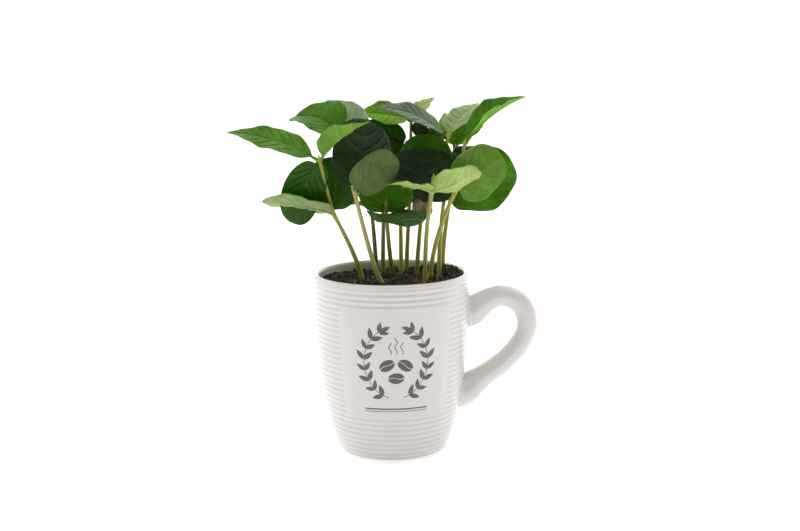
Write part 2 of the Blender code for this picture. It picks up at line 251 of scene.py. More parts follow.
Leaf = namedtuple(
    "Leaf",
    "kind at azimuth rise length width roll bow fold cup wave sweep top under",
    defaults=(0.0, 0.08, 10.0, 0.0, 0.03, 0.0, "deep", "fresh"),
)
Seedling = namedtuple("Seedling", "name foot node tip skin leaves lean", defaults=(1.25,))


def true(at, azimuth, rise, length, width, **shape):
    """A pointed true leaf, at a share of the twig's height."""
    return Leaf("true", at, azimuth, rise, length, width, **shape)


def seed(azimuth, rise, length, width, at=0.0, **shape):
    """A round, wavy leaf like the first ones, at the foot of the twig if no other share is given."""
    return Leaf("seed", at, azimuth, rise, length, width, **{"fold": 4.0, "wave": 0.05, "bow": 0.05, **shape})


# Each seedling: where its stem leaves the soil, where its first leaves sit, the top of its
# twig, the skin of its stem, its leaves with the tones of their two faces, and how the stem
# leans: evenly at 1, more towards the leaves above 1. Azimuth 0 is +X and 90 is +Y, away from
# the mug's front.
SEEDLINGS = (
    Seedling("left_front", (-17, 9), (-33, 2, 139), (-40, -3, 170), "olive", (
        seed(-169, 11, 42, 22, roll=24, bow=0.02, cup=0.06, top="fresh", under="grey"),
        seed(76, 63, 35, 32, cup=0.15, bow=0.0),
        true(1, 172, 17, 56, 27, roll=-24, bow=0.07, fold=6, top="fresh", under="bright"),
        true(1, -34, 33, 41, 24, roll=-8, bow=0.05, fold=22, sweep=-0.06, under="leafy"),
        seed(149, -63, 42, 24, at=1, roll=-125, bow=0.02, sweep=-0.05),
    )),
    Seedling("left_middle", (-6, -6), (-21, -9, 153.5), (-30, 13, 183), "lime", (
        seed(70, 64, 42, 34, roll=12, fold=0, cup=0.02, wave=0.03, sweep=-0.05, top="night", under="night"),
        seed(-22, 39, 32, 22, roll=-66, bow=-0.05, fold=0, wave=0.03, under="moss"),
        seed(146, 20, 32, 34, at=1, roll=-24, bow=0.08, fold=14, wave=0.03, sweep=-0.15, top="fresh"),
        true(1, -12, 24, 22, 13, fold=30, top="night", under="moss"),
    ), lean=0.8),
    Seedling("back_left", (-7.5, 36), (-10, 47, 141), (-13, 50, 170), "purple", (
        seed(150, 20, 38, 32),
        seed(95, 5, 36, 28),
        true(1, 80, 12, 38, 24),
        true(1, 155, 14, 32, 24),
    )),
    Seedling("middle_left", (-4, 22), (-3, 27, 137), (-11, 31, 179), "purple", (
        seed(180, 8, 38, 26, top="night", under="deep"),
        # This leaf takes the painted sheen tone on both faces: a whitish sheen painted into its colour.
        true(1, 160, 42, 36, 22, roll=-60, top="silver", under="silver"),
        true(1, -115, 20, 22, 18, under="deep"),
    )),
    Seedling("middle_front", (2, 19), (-2, 10, 136.5), (-2, 9, 143), "dark", (
        seed(85, 68, 21, 32, bow=0.0, cup=0.1, top="fresh"),
        seed(-74, -5, 36, 34, cup=0.05, under="deep"),
    ), lean=0.7),
    Seedling("middle", (7.5, 29), (8, 40, 140), (12, 44, 175), "olive", (
        seed(172, 20, 29, 22, at=1, roll=-60, under="deep"),
        true(1, 178, -18, 17, 15, roll=-70, top="night", under="deep"),
    )),
    Seedling("middle_back", (11, 32), (14, 46, 138), (16, 52, 190), "dark", (
        seed(68, 10, 36, 30),
        true(1, 20, 40, 21, 13, fold=12, roll=20, top="pale", under="pale"),
        true(1, -172, 8, 34, 22, roll=-40, bow=0.06, top="bright", under="leafy"),
    )),
    Seedling("right_middle", (16.5, 20), (20.5, 27, 140), (21, 44, 178), "dark", (
        seed(60, 85, 34, 48, roll=28, cup=0.06, bow=0.04, top="night", under="night"),
        seed(66, 77, 43, 36, roll=16, bow=-0.05, fold=0, wave=0.09, top="fresh"),
        true(1, -112, 48, 15, 12, fold=20, top="night", under="night"),
        true(1, 8, 8, 18, 13, roll=50, under="deep"),
    )),
    Seedling("right_front", (20, 0), (23, -12, 152), (24, -11, 159), "lime", (
        seed(-24, 24, 31, 22, roll=-32, bow=-0.05, cup=0.1, top="fresh", under="pale"),
        seed(-152, 12, 28, 20, roll=8, top="fresh", under="pale"),
    ), lean=2.2),
    Seedling("right", (23.5, 3.5), (38, 2, 151), (44, 8, 178), "olive", (
        seed(-20, 36, 34, 32, roll=70, top="leafy", under="leafy"),
        true(1, 6, 36, 45, 24, roll=10, fold=34, top="fresh", under="bright"),
        true(0.4, 60, 50, 18, 16, roll=30, cup=0.2, wave=0.1, top="night", under="deep"),
    ), lean=1.7),
    Seedling("right_back", (29, 8), (34.5, 30, 145), (37, 38, 180), "olive", (
        seed(-3, 24, 46, 44, roll=58, wave=0.1, top="fresh"),
        true(1, 42, 34, 36, 24, top="grey", under="grey"),
        true(1, -172, 23, 49, 20, roll=-32, bow=0.12, fold=8, top="violet"),
    ), lean=2.2),
    Seedling("back_right", (32.3, 20), (40, 46, 143), (43, 52, 172), "olive", (
        seed(38, 10, 38, 36),
        true(1, 112, 58, 26, 21, top="bright"),
        true(1, 20, 45, 34, 20, roll=25, top="bright"),
    ), lean=2.0),
)


def color_setting(name, description, default):
    return FloatVectorProperty(
        name=name, description=description, subtype="COLOR", size=3, default=default, min=0.0, max=1.0)


def length_setting(name, description, default, least=0.0):
    """The default and the least value are in millimetres."""
    return FloatProperty(
        name=name, description=description, default=default * MM, min=least * MM, unit="LENGTH", precision=5)


def share_setting(name, description, default, most=1.0):
    return FloatProperty(
        name=name, description=description, subtype="FACTOR", default=default, min=0.0, max=most)


def strength_setting(name, description, default, least=0.0):
    return FloatProperty(name=name, description=description, default=default, min=least)


def count_setting(name, description, default, least=0):
    return IntProperty(name=name, description=description, default=default, min=least)


class MugSettings(PropertyGroup):
    """Sizes and glaze of the mug and its handle."""

    rib_pitch: length_setting("Rib Pitch", "Height from one rib to the next", 3.177, least=1.0)
    lowest_groove: length_setting("Lowest Groove", "Height of the lowest groove between ribs", 4.3)
    rib_depth: length_setting("Rib Depth", "How deep the grooves between the ribs are", 0.3)
    panel_half_angle: FloatProperty(
        name="Panel Half Angle", description="From the front to either side of the plain panel",
        default=math.radians(42.5), subtype="ANGLE")
    panel_bottom: length_setting("Panel Bottom", "Height of the panel's lower edge", 27.2)
    panel_top: length_setting("Panel Top", "Height of the panel's upper edge", 91.0)
    segments: count_setting("Segments", "Faces round the mug", 288, least=48)
    glaze: color_setting("Glaze", "Colour of the glaze outside", (0.75, 0.705, 0.68))
    # Painted shade: a darker, warmer copy of the glaze, mixed into the grooves between the ribs as shade.
    groove_shade_glaze: color_setting(
        "Pooled Glaze", "Colour where the glaze lies thicker, in the grooves", (0.66, 0.61, 0.575))
    # Painted light: a lighter copy of the glaze for the inside of the wall, standing in for the light that
    # falls into the mug.
    inner_glaze: color_setting("Inner Glaze", "Colour of the glaze inside the wall", (0.95, 0.94, 0.89))
    bare_clay: color_setting("Bare Clay", "Colour of the unglazed foot ring", (0.62, 0.56, 0.48))
    gloss_roughness: share_setting("Glaze Roughness", "Roughness of the glaze", 0.2)


class OrnamentSettings(PropertyGroup):
    """Print on the mug's panel."""

    ink: color_setting("Ink", "Colour of the print", (0.10, 0.095, 0.09))


class SoilSettings(PropertyGroup):
    """Peat in the mug, and the bits that lie on it."""

    relief: length_setting("Relief", "Height of the soil's finest bumps", 1.1)
    crumbs: count_setting("Crumbs", "Loose dark crumbs on the soil", 1500)
    lumps: count_setting("Lumps", "Larger dark lumps on the soil", 187)
    chunks: count_setting("Chunks", "Big chunks of bark on the soil", 14)
    bark_chips: count_setting("Bark Chips", "Chips of bark and fibre on the soil", 420)
    grit: count_setting("Grit", "Pale grains on the soil", 60)
    peat: color_setting("Peat", "Colour of the damp peat", (0.020, 0.012, 0.009))
    dry_peat: color_setting("Dry Peat", "Colour of the drier peat", (0.17, 0.105, 0.075))
    bark: color_setting("Bark", "Colour of the bark chips", (0.52, 0.36, 0.26))
    pale_grit: color_setting("Pale Grit", "Colour of the pale grains", (0.7, 0.68, 0.62))


class ShootSettings(PropertyGroup):
    """Skins of the stems, twigs and leaf stalks."""

    ridge: share_setting(
        "Ridges", "Depth of the long ridges on a stem, as a share of its radius", 0.035, most=0.3)
    olive: color_setting("Olive Skin", "Yellow-green stems", (0.43, 0.41, 0.05))
    lime: color_setting("Lime Skin", "The palest stems", (0.50, 0.47, 0.11))
    dark: color_setting("Dark Skin", "Shaded olive stems", (0.31, 0.29, 0.035))
    purple: color_setting("Purple Skin", "Stems with a brown-purple skin", (0.27, 0.20, 0.06))


class LeafSettings(PropertyGroup):
    """Sizes and tones of the leaves."""

    thickness: length_setting("Thickness", "Thickness of a blade", 0.34)
    vein_depth: length_setting("Vein Depth", "How deep the veins lie in the upper face", 0.26)
    roughness: share_setting("Roughness", "Roughness of the waxy upper face", 0.3)
    gloss: share_setting("Gloss", "Strength of the waxy shine", 0.14)
    glow: share_setting("Light Through", "Share of light that passes into and through a blade", 0.6)
    vein_paler: strength_setting(
        "Paler Veins", "How much lighter the veins are than the blade", 1.3, least=1.0)
    patch_paler: strength_setting("Paler Patches", "Brightness of a blade's paler patches", 1.15)
    patch_deeper: strength_setting("Deeper Patches", "Brightness of a blade's deeper patches", 0.7)
    night: color_setting("Night Tone", "The darkest, shaded leaves", (0.022, 0.048, 0.017))
    deep: color_setting("Deep Tone", "Full-grown upper faces", (0.035, 0.12, 0.008))
    fresh: color_setting("Fresh Tone", "Younger upper faces", (0.085, 0.23, 0.010))
    leafy: color_setting("Leafy Tone", "Soft mid-green leaves near the front", (0.17, 0.315, 0.047))
    bright: color_setting("Bright Tone", "Leaves that the light shines through", (0.16, 0.36, 0.018))
    grey: color_setting("Grey Tone", "Grey-green lower faces", (0.27, 0.36, 0.13))
    moss: color_setting("Moss Tone", "Shaded grey-green lower faces", (0.11, 0.16, 0.045))
    pale: color_setting("Pale Tone", "The palest lower faces", (0.42, 0.52, 0.17))
    # Painted sheen: a pale, greyish tone that stands in for the whitish sheen of light on an upright leaf.
    silver: color_setting("Silver Tone", "Upright leaves with a whitish sheen", (0.5, 0.56, 0.42))
    violet: color_setting("Violet Tone", "Glossy leaves with a cool, greyish cast", (0.16, 0.21, 0.13))


class HuskSettings(PropertyGroup):
    """Dry seed husk that still clings to one seedling."""

    width: length_setting("Width", "Across the husk", 13.0)
    height: length_setting("Height", "Along the husk", 11.0)
    parchment: color_setting("Parchment", "Colour of the dry husk", (0.28, 0.19, 0.11))


class StudioSettings(PropertyGroup):
    """Camera, floor and light."""

    lens: strength_setting("Lens", "Focal length in millimetres", 49.05, least=10.0)
    front_light: strength_setting("Front Light", "Strength of the light from behind the camera", 0.1)
    back_light: strength_setting("Back Light", "Strength of the light from behind the plant", 1.5)
    sky_light: strength_setting("Top Light", "Strength of the light from above", 0.6)
    floor_color: color_setting("Floor", "Colour of the floor", (0.9, 0.9, 0.9))
    floor_glow: strength_setting(
        "Floor Glow", "Light that the floor gives off, which fades its shadows", 0.42)


SETTINGS = {
    "coffee_mug": MugSettings,
    "coffee_ornament": OrnamentSettings,
    "coffee_soil": SoilSettings,
    "coffee_shoots": ShootSettings,
    "coffee_leaves": LeafSettings,
    "coffee_husk": HuskSettings,
    "coffee_studio": StudioSettings,
}


# Numbers and points

def metres(point):
    return Vector([float(value) * MM for value in point])


def unit(vector):
    return vector / np.linalg.norm(vector)


def smoothstep(low, high, value):
    share = np.clip((value - low) / (high - low), 0.0, 1.0)
    return share * share * (3 - 2 * share)


def smooth_route(points, per_span):
    """Points on a Catmull-Rom curve through the given ones."""
    points = [np.array(point, float) for point in points]
    ends = [2 * points[0] - points[1]] + points + [2 * points[-1] - points[-2]]
    route = []
    for before, start, end, after in zip(ends, ends[1:], ends[2:], ends[3:]):
        for step in range(per_span):
            t = step / per_span
            route.append(0.5 * (
                2 * start + (end - before) * t + (2 * before - 5 * start + 4 * end - after) * t ** 2
                + (3 * start - before - 3 * end + after) * t ** 3
            ))
    return route + [points[-1]]


MUG_CURVE = smooth_route(MUG_SIDE[-2:0:-1], 8)
MUG_HEIGHTS = [0.0] + [point[0] for point in MUG_CURVE]
MUG_RADII = [MUG_SIDE[-1][1]] + [point[1] for point in MUG_CURVE]


def mug_radius(height):
    """Outer radius of the mug at a height."""
    return np.interp(height, MUG_HEIGHTS, MUG_RADII)


def along_side(heights, inset):
    """Places on the mug's side at the heights, moved in by the inset, as (radius, height)."""
    return [(float(mug_radius(height)) - inset, float(height)) for height in heights]


# Meshes

def add_object(name, shape, materials):
    """Makes an object of a bmesh, at the origin."""
    mesh = bpy.data.meshes.new(name)
    shape.to_mesh(mesh)
    shape.free()
    for one in materials:
        mesh.materials.append(one)
    made = bpy.data.objects.new(name, mesh)
    bpy.context.scene.collection.objects.link(made)
    return made


def add_piece(name, shape, materials, replaced=(), smooth=True):
    """Makes a piece that rides on the body, and may stand for CAD nodes."""
    piece = add_object(name, shape, materials)
    if smooth:
        piece.data.shade_smooth()
    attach(piece, BODY)
    if replaced:
        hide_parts(*replaced)
    return piece


def each_once(items):
    """The items without repeats, in the order in which they come, so that each run gives the same."""
    return list(dict.fromkeys(items))


def sort_by_place(items, place):
    """Sorts vertices or faces by where they are, as an operator may leave them in any order."""
    ranks = {item: rank for rank, item in enumerate(sorted(items, key=lambda item: tuple(place(item))))}
    items.sort(key=ranks.get)


def add_sheet(shape, rows, columns, place):
    """Adds a grid whose corner (row, column) lies where place says, in millimetres.

    Returns the new faces by the row and column of their lowest corner."""
    made = bmesh.ops.create_grid(shape, x_segments=columns - 1, y_segments=rows - 1, size=1.0)
    spots = {}
    for vert in made["verts"]:
        spots[vert] = (round((vert.co.y + 1) / 2 * (rows - 1)), round((vert.co.x + 1) / 2 * (columns - 1)))
    faces = {}
    for face in each_once(face for vert in made["verts"] for face in vert.link_faces):
        corners = [spots[vert] for vert in face.verts]
        faces[min(row for row, _ in corners), min(column for _, column in corners)] = face
    for vert, (row, column) in spots.items():
        vert.co = metres(place[row][column])
    return faces


def add_tube(shape, points, radii, sides, relief=None):
    """Adds a closed round limb through the points, in millimetres. Returns its faces."""
    points = [np.array(point, float) for point in points]
    count = len(points)
    side = np.array((0.0, 1.0, 0.0))
    place = []
    for index, (point, radius) in enumerate(zip(points, radii)):
        ahead = unit(points[min(index + 1, count - 1)] - points[max(index - 1, 0)])
        side = unit(side - ahead * float(side @ ahead))
        across = np.cross(ahead, side)
        ring = []
        for step in range(sides + 1):
            angle = 2 * math.pi * (step % sides) / sides
            swell = relief(index / (count - 1), angle) if relief else 1.0
            ring.append(point + radius * swell * (side * math.cos(angle) + across * math.sin(angle)))
        place.append(ring)
    faces = add_sheet(shape, count, sides + 1, place)
    verts = each_once(vert for face in faces.values() for vert in face.verts)
    bmesh.ops.remove_doubles(shape, verts=verts, dist=MERGE)
    faces = [face for face in faces.values() if face.is_valid]
    edges = each_once(edge for face in faces for edge in face.edges if edge.is_boundary)
    faces += bmesh.ops.holes_fill(shape, edges=edges, sides=0)["faces"]
    bmesh.ops.recalc_face_normals(shape, faces=faces)
    return faces


def spun(profile, segments):
    """A closed skin: a profile of (radius, height) that starts and ends on the Z axis, spun round it."""
    shape = bmesh.new()
    verts = [shape.verts.new(metres((radius, 0.0, height))) for radius, height in profile]
    edges = [shape.edges.new(pair) for pair in zip(verts, verts[1:])]
    bmesh.ops.spin(
        shape, geom=verts + edges, cent=(0, 0, 0), axis=(0, 0, 1), angle=math.tau, steps=segments,
        use_merge=True)
    bmesh.ops.remove_doubles(shape, verts=shape.verts, dist=MERGE)
    bmesh.ops.recalc_face_normals(shape, faces=shape.faces)
    sort_by_place(shape.verts, lambda vert: vert.co)
    sort_by_place(shape.faces, lambda face: face.calc_center_median())
    return shape


# Materials

def add_node(tree, kind, inputs=None, **settings):
    """Adds a node; an input takes a plain value or another node's output."""
    made = tree.nodes.new(kind)
    for name, value in settings.items():
        setattr(made, name, value)
    for name, value in (inputs or {}).items():
        if isinstance(value, bpy.types.NodeSocket):
            tree.links.new(value, made.inputs[name])
        else:
            made.inputs[name].default_value = value
    return made


def add_range(tree, value, low, high, to_low=0.0, to_high=1.0, **settings):
    """Maps the values from low to high to another range, and returns the output."""
    return add_node(tree, "ShaderNodeMapRange", {
        "Value": value, "From Min": low, "From Max": high, "To Min": to_low, "To Max": to_high,
    }, **settings).outputs["Result"]


def new_group(name, inputs, outputs):
    """A shader node group with named sockets, and its input and output nodes."""
    tree = bpy.data.node_groups.new(name, "ShaderNodeTree")
    for label, kind, default in inputs:
        socket = tree.interface.new_socket(label, in_out="INPUT", socket_type=kind)
        socket.default_value = default
    for label, kind in outputs:
        tree.interface.new_socket(label, in_out="OUTPUT", socket_type=kind)
    return tree, tree.nodes.new("NodeGroupInput"), tree.nodes.new("NodeGroupOutput")


def mottle_group():
    """Two colours mixed in soft patches, with a height that follows them."""
    found = bpy.data.node_groups.get("mottle")
    if found:
        return found
    tree, given, result = new_group(
        "mottle",
        (("Colour", "NodeSocketColor", (0.5, 0.5, 0.5, 1)),
         ("Patch Colour", "NodeSocketColor", (0.3, 0.3, 0.3, 1)),
         ("Scale", "NodeSocketFloat", 100.0), ("Stretch", "NodeSocketVector", (1, 1, 1)),
         ("Amount", "NodeSocketFloat", 1.0)),
        (("Colour", "NodeSocketColor"), ("Height", "NodeSocketFloat")),
    )
    place = add_node(tree, "ShaderNodeTexCoord")
    stretched = add_node(tree, "ShaderNodeMapping", {
        "Vector": place.outputs["Object"], "Scale": given.outputs["Stretch"]})
    patches = add_node(tree, "ShaderNodeTexNoise", {
        "Vector": stretched.outputs["Vector"], "Scale": given.outputs["Scale"],
        "Detail": 5.0, "Roughness": 0.6})
    contrast = add_range(tree, patches.outputs["Fac"], 0.35, 0.68)
    share = add_node(tree, "ShaderNodeMath", {0: contrast, 1: given.outputs["Amount"]}, operation="MULTIPLY")
    mixed = add_node(tree, "ShaderNodeMixRGB", {
        "Fac": share.outputs["Value"], "Color1": given.outputs["Colour"],
        "Color2": given.outputs["Patch Colour"]})
    tree.links.new(mixed.outputs["Color"], result.inputs["Colour"])
    tree.links.new(patches.outputs["Fac"], result.inputs["Height"])
    return tree


def cells_group():
    """Height of fine raised cells, as on a leaf's skin or between grains."""
    found = bpy.data.node_groups.get("cells")
    if found:
        return found
    tree, given, result = new_group(
        "cells", (("Scale", "NodeSocketFloat", 700.0),), (("Height", "NodeSocketFloat"),))
    place = add_node(tree, "ShaderNodeTexCoord")
    cells = add_node(tree, "ShaderNodeTexVoronoi", {
        "Vector": place.outputs["Object"], "Scale": given.outputs["Scale"]}, feature="DISTANCE_TO_EDGE")
    tree.links.new(add_range(tree, cells.outputs["Distance"], 0.0, 0.22), result.inputs["Height"])
    return tree


def rgba(color):
    return (*color, 1.0)


def shaded(color, share):
    """The colour, times a share of its brightness."""
    return tuple(min(1.0, value * share) for value in color)


def new_material(name, roughness, **sockets):
    """A Principled material; sockets are plain values of the shader's own inputs."""
    made = bpy.data.materials.new(name)
    made.use_nodes = True
    shader = made.node_tree.nodes["Principled BSDF"]
    shader.inputs["Roughness"].default_value = roughness
    for label, value in sockets.items():
        shader.inputs[label.replace("_", " ")].default_value = value
    return made, made.node_tree, shader


def add_mottle(tree, color, patch, scale, amount=1.0, stretch=(1.0, 1.0, 1.0)):
    """Places the mottle group. Its first colour is plain, or another node's output."""
    if not isinstance(color, bpy.types.NodeSocket):
        color = rgba(color)
    return add_node(tree, "ShaderNodeGroup", {
        "Colour": color, "Patch Colour": rgba(patch), "Scale": scale, "Stretch": stretch, "Amount": amount,
    }, node_tree=mottle_group())


def add_cells(tree, scale):
    """Places the cells group, and returns the height of its cells."""
    return add_node(tree, "ShaderNodeGroup", {"Scale": scale}, node_tree=cells_group()).outputs["Height"]


def color_and_bump(tree, shader, color, height, depth, strength=1.0):
    """Links the base colour, and a bump of a depth in millimetres."""
    tree.links.new(color, shader.inputs["Base Color"])
    made = add_node(tree, "ShaderNodeBump", {"Height": height, "Distance": depth * MM, "Strength": strength})
    tree.links.new(made.outputs["Normal"], shader.inputs["Normal"])


def glaze_material(mug, name, glaze, ribbed=False):
    """Glossy white glaze: cloudy at arm's length; on the ribs, painted shade: a darker, warmer colour mixed
    into the grooves.
    """
    made, tree, shader = new_material(name, mug.gloss_roughness, Coat_Weight=0.25, Coat_Roughness=0.06)
    color = add_mottle(tree, glaze, shaded(glaze, 0.965), 26.0, 0.8).outputs["Colour"]
    # Painted shade: the darker, warmer groove colour is mixed in along the grooves between the ribs.
    if ribbed:
        place = add_node(tree, "ShaderNodeTexCoord")
        height = add_node(tree, "ShaderNodeSeparateXYZ", {"Vector": place.outputs["Object"]})
        turns = math.tau / mug.rib_pitch
        phase = add_node(tree, "ShaderNodeMath", {
            0: height.outputs["Z"], 1: turns, 2: -mug.lowest_groove * turns}, operation="MULTIPLY_ADD")
        wave = add_node(tree, "ShaderNodeMath", {0: phase.outputs["Value"]}, operation="COSINE")
        groove_shade = add_range(tree, wave.outputs["Value"], 0.2, 1.0, to_high=0.75)
        mixed = add_node(tree, "ShaderNodeMixRGB", {
            "Fac": groove_shade, "Color1": color, "Color2": rgba(mug.groove_shade_glaze)})
        color = mixed.outputs["Color"]
    color_and_bump(tree, shader, color, add_cells(tree, 420.0), 0.012, 0.25)
    return made


def clay_material(mug):
    """Bare, slightly gritty clay under the foot."""
    made, tree, shader = new_material("bare_clay", 0.75)
    grit = add_mottle(tree, mug.bare_clay, shaded(mug.bare_clay, 0.8), 900.0)
    color_and_bump(tree, shader, grit.outputs["Colour"], grit.outputs["Height"], 0.1)
    return made


def peat_material(name, color, patch, scale):
    """Damp, crumbly peat or bark."""
    made, tree, shader = new_material(name, 0.85, Specular_IOR_Level=0.35)
    earth = add_mottle(tree, color, patch, scale)
    height = add_node(tree, "ShaderNodeMath", {
        0: earth.outputs["Height"], 1: add_cells(tree, scale * 2.2)}, operation="ADD")
    color_and_bump(tree, shader, earth.outputs["Colour"], height.outputs["Value"], 0.5)
    return made


def skin_material(shoots, skin):
    """Waxy stem skin with fine streaks along it."""
    name = "stem_skin_" + skin
    found = bpy.data.materials.get(name)
    if found:
        return found
    color = tuple(getattr(shoots, skin))
    made, tree, shader = new_material(
        name, 0.42, Subsurface_Weight=0.3, Subsurface_Radius=(1.0, 0.9, 0.25), Subsurface_Scale=0.7 * MM)
    streaks = add_mottle(tree, color, shaded(color, 0.62), 900.0, 0.7, (1.0, 1.0, 0.07))
    color_and_bump(tree, shader, streaks.outputs["Colour"], streaks.outputs["Height"], 0.12, 0.6)
    return made


def leaf_material(leaves, tone, vein, under):
    """One tone of leaf: mottled, waxy on the upper face and duller below, lit from behind."""
    name = f"leaf_{tone}_{'vein' if vein else 'blade'}_{'under' if under else 'top'}"
    found = bpy.data.materials.get(name)
    if found:
        return found
    color = tuple(getattr(leaves, tone))
    if vein:
        color = shaded(color, leaves.vein_paler)
    made, tree, shader = new_material(
        name, leaves.roughness + (0.16 if under else 0.0),
        Specular_IOR_Level=leaves.gloss * YOUNG_GLOSS.get(tone, 1.0), Subsurface_Weight=leaves.glow,
        Subsurface_Radius=(0.55, 1.0, 0.16), Subsurface_Scale=0.9 * MM)
    broad = add_mottle(
        tree, shaded(color, leaves.patch_paler), shaded(color, leaves.patch_deeper), 48.0,
        stretch=(1.0, 1.0, 1.6))
    patches = add_mottle(tree, broad.outputs["Colour"], shaded(color, 0.66), 190.0, 0.6)
    cells = add_cells(tree, 900.0 if under else 620.0)
    color_and_bump(tree, shader, patches.outputs["Colour"], cells, 0.05, 0.55)
    return made


def husk_material(husk):
    """Dry, fibrous parchment."""
    made, tree, shader = new_material(
        "dry_husk", 0.6, Subsurface_Weight=0.3, Subsurface_Radius=(1.0, 0.6, 0.3), Subsurface_Scale=0.5 * MM)
    paper = add_mottle(tree, husk.parchment, shaded(husk.parchment, 0.4), 420.0, stretch=(1.0, 1.0, 0.35))
    color_and_bump(tree, shader, paper.outputs["Colour"], paper.outputs["Height"], 0.3)
    return made


# Mug

def groove_depth(mug, height, angle, radius):
    """How far the outside lies below the ribs' crests, in millimetres, at an angle from the front."""
    turns = (height - mug.lowest_groove / MM) / (mug.rib_pitch / MM)
    wave = (0.5 + 0.5 * math.cos(math.tau * turns)) ** GROOVE_SHARPNESS
    past_side = (abs(angle) - mug.panel_half_angle) * radius
    past_ends = max(mug.panel_bottom / MM - height, height - mug.panel_top / MM)
    outside = max(past_side, past_ends)
    ribbed = float(smoothstep(*RIBS_START_PAST_PANEL, outside))
    border = 0.0
    if past_side > past_ends:
        border = PANEL_BORDER_DEPTH * math.exp(-(outside / PANEL_BORDER_WIDTH) ** 2)
    return mug.rib_depth / MM * max(wave * ribbed, border)


def on_panel(mug, point):
    """True on the smooth panel at the front."""
    turned = abs(math.atan2(point.x, -point.y))
    return turned < mug.panel_half_angle and mug.panel_bottom < point.z < mug.panel_top


def mug_profile(mug):
    """The mug's section from the middle of its underside, round the wall, to the middle of its floor."""
    top = MUG_HEIGHT - RIM_RADIUS
    rows = round(top / (mug.rib_pitch / MM / ROWS_PER_RIB))
    profile = list(FOOT_SECTION) + along_side(np.linspace(SIDE_FROM, top, rows), 0.0)
    middle = float(mug_radius(top)) - RIM_RADIUS
    for angle in np.linspace(0, math.pi, RIM_STEPS + 1)[1:-1]:
        profile.append((middle + RIM_RADIUS * math.cos(angle), top + RIM_RADIUS * math.sin(angle)))
    profile += along_side(np.linspace(top, INSIDE_LOWEST, INSIDE_ROWS), MUG_WALL)
    lowest = profile[-1][0]
    profile += [(lowest - inwards, height) for inwards, height in INSIDE_CORNER]
    return profile + [(0.0, MUG_FLOOR)]


def make_mug(mug):
    """A turned body: ribs and panel are pressed into its side, and each region takes its glaze; the inside
    takes a lighter copy of the glaze as painted light.
    """
    shape = spun(mug_profile(mug), mug.segments)
    ribs_end = MUG_HEIGHT - RIM_RADIUS
    for vert in shape.verts:
        radius, height = math.hypot(vert.co.x, vert.co.y) / MM, vert.co.z / MM
        if height < FOOT_TOP or height > ribs_end + 0.01 or radius < mug_radius(height) - 1:
            continue
        angle = math.atan2(vert.co.x, -vert.co.y)
        fade = smoothstep(*RIBS_FADE_IN, height) * smoothstep(0.0, RIBS_FADE_OUT, ribs_end - height)
        share = 1 - groove_depth(mug, height, angle, radius) * float(fade) / radius
        vert.co.x *= share
        vert.co.y *= share
    for face in shape.faces:
        middle = face.calc_center_median()
        radius = math.hypot(middle.x, middle.y) / MM
        if middle.z < BARE_HEIGHT * MM and radius > BARE_RADIUS:
            face.material_index = 1
        elif radius < mug_radius(middle.z / MM) - RIM_RADIUS:
            face.material_index = 3
        elif on_panel(mug, middle):
            face.material_index = 2
    # The inside of the wall takes the lighter inner glaze, painted light.
    materials = [
        glaze_material(mug, "ribbed_glaze", mug.glaze, True), clay_material(mug),
        glaze_material(mug, "plain_glaze", mug.glaze), glaze_material(mug, "inner_glaze", mug.inner_glaze),
    ]
    add_piece("mug_ribbed_body", shape, materials, ["mug_body"])


def make_handle():
    """An ear of round section, whose feet swell into the wall and end just under its face."""
    route = smooth_route(HANDLE_ROUTE, HANDLE_RINGS_PER_SPAN)
    line = np.array([(row[0], 0.0, row[1]) for row in route])
    shape = bmesh.new()
    add_tube(shape, line, [row[2] for row in route], HANDLE_SIDES)
    for vert in shape.verts:
        point = np.array(vert.co) / MM
        gap = math.hypot(point[0], point[1]) - float(mug_radius(point[2]))
        if gap < FILLET_REACH:
            away = point - line[np.argmin(np.linalg.norm(line - point, axis=1))]
            if np.linalg.norm(away) > 1:
                vert.co += metres(unit(away) * FILLET_SWELL * (1 - max(gap, 0.0) / FILLET_REACH) ** 2)
    piece = add_piece("mug_ear_handle", shape, [bpy.data.materials["plain_glaze"]], ["mug_handle"])
    low, high = PLUG_HEIGHTS
    side = along_side(np.linspace(low, high, PLUG_ROWS), FOOT_SUNK)
    plug = add_object("plug", spun([(0.0, low), *side, (0.0, high)], PLUG_SEGMENTS), [])
    cut = piece.modifiers.new("Plug", "BOOLEAN")
    cut.operation = "DIFFERENCE"
    cut.object = plug
    graph = bpy.context.evaluated_depsgraph_get()
    finished = bpy.data.meshes.new_from_object(piece.evaluated_get(graph))
    piece.modifiers.clear()
    piece.data = finished
    finished.name = piece.name
    bpy.data.objects.remove(plug, do_unlink=True)


# Ornament

def on_face(u, height, lift):
    """A point over the panel: u runs round the mug from the middle of the panel, in millimetres."""
    radius = float(mug_radius(height)) + lift
    angle = u / float(mug_radius(MUG_HEIGHT / 2))
    return radius * math.sin(angle), -radius * math.cos(angle), height


def print_patch(shape, left, right, lift):
    """A printed patch between two edges, each a row of points (u, height)."""
    left, right = np.array(left, float), np.array(right, float)
    columns = 2 + math.ceil(float(np.linalg.norm(right - left, axis=1).max()) / PRINT_STEP)
    shares = np.linspace(0.0, 1.0, columns)
    place = [[on_face(*(a + (b - a) * share), lift) for share in shares] for a, b in zip(left, right)]
    add_sheet(shape, len(left), columns, place)


def print_stroke(shape, points, width):
    """A line of one width through the points."""
    points = np.array(points, float)
    ahead = np.gradient(points, axis=0)
    ahead /= np.linalg.norm(ahead, axis=1)[:, None]
    side = np.stack([-ahead[:, 1], ahead[:, 0]], axis=1) * width / 2
    print_patch(shape, points + side, points - side, PRINT_LIFT)


